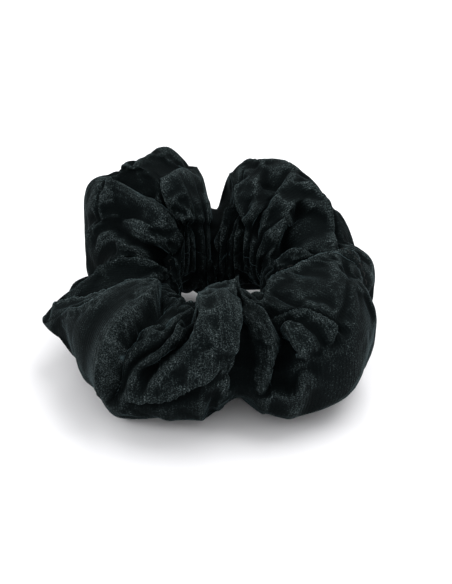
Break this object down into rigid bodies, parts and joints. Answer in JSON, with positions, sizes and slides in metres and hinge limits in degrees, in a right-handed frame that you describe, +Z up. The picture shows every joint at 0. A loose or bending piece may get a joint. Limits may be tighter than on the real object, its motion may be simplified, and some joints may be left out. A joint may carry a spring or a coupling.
{
  "type": "hair scrunchie",
  "caption": "Gathered velvet hair scrunchie: a puffy cloth tube drawn up on a ring of flat elastic, which is pulled open to go round a ponytail or a wrist.",
  "frame": {"origin": "on the table, under the middle of the whole piece; the ring's own middle is 2.1 mm to the right of it", "axes": "+Z up out of the ring as it lies flat, +X to the right, +Y to the back, the way the ring is pulled open"},
  "size_m": [0.1154, 0.1127, 0.061],
  "materials": {
    "velvet": "matte",
    "elastic": "matte",
    "thread": "satin"
  },
  "bodies": {
    "front": {"cover_front": "velvet", "elastic_front": "elastic", "elastic_join_thread": "thread", "long_seam_thread_front": "thread", "closing_seam_thread": "thread"},
    "back": {"cover_back": "velvet", "elastic_back": "elastic", "long_seam_thread_back": "thread"}
  },
  "joints": [
    {"name": "stretch", "type": "slide", "parent": "front", "child": "back", "axis": [0, 1, 0], "range_m": [0, 0.08], "stiffness_N_per_m": 100}
  ]
}
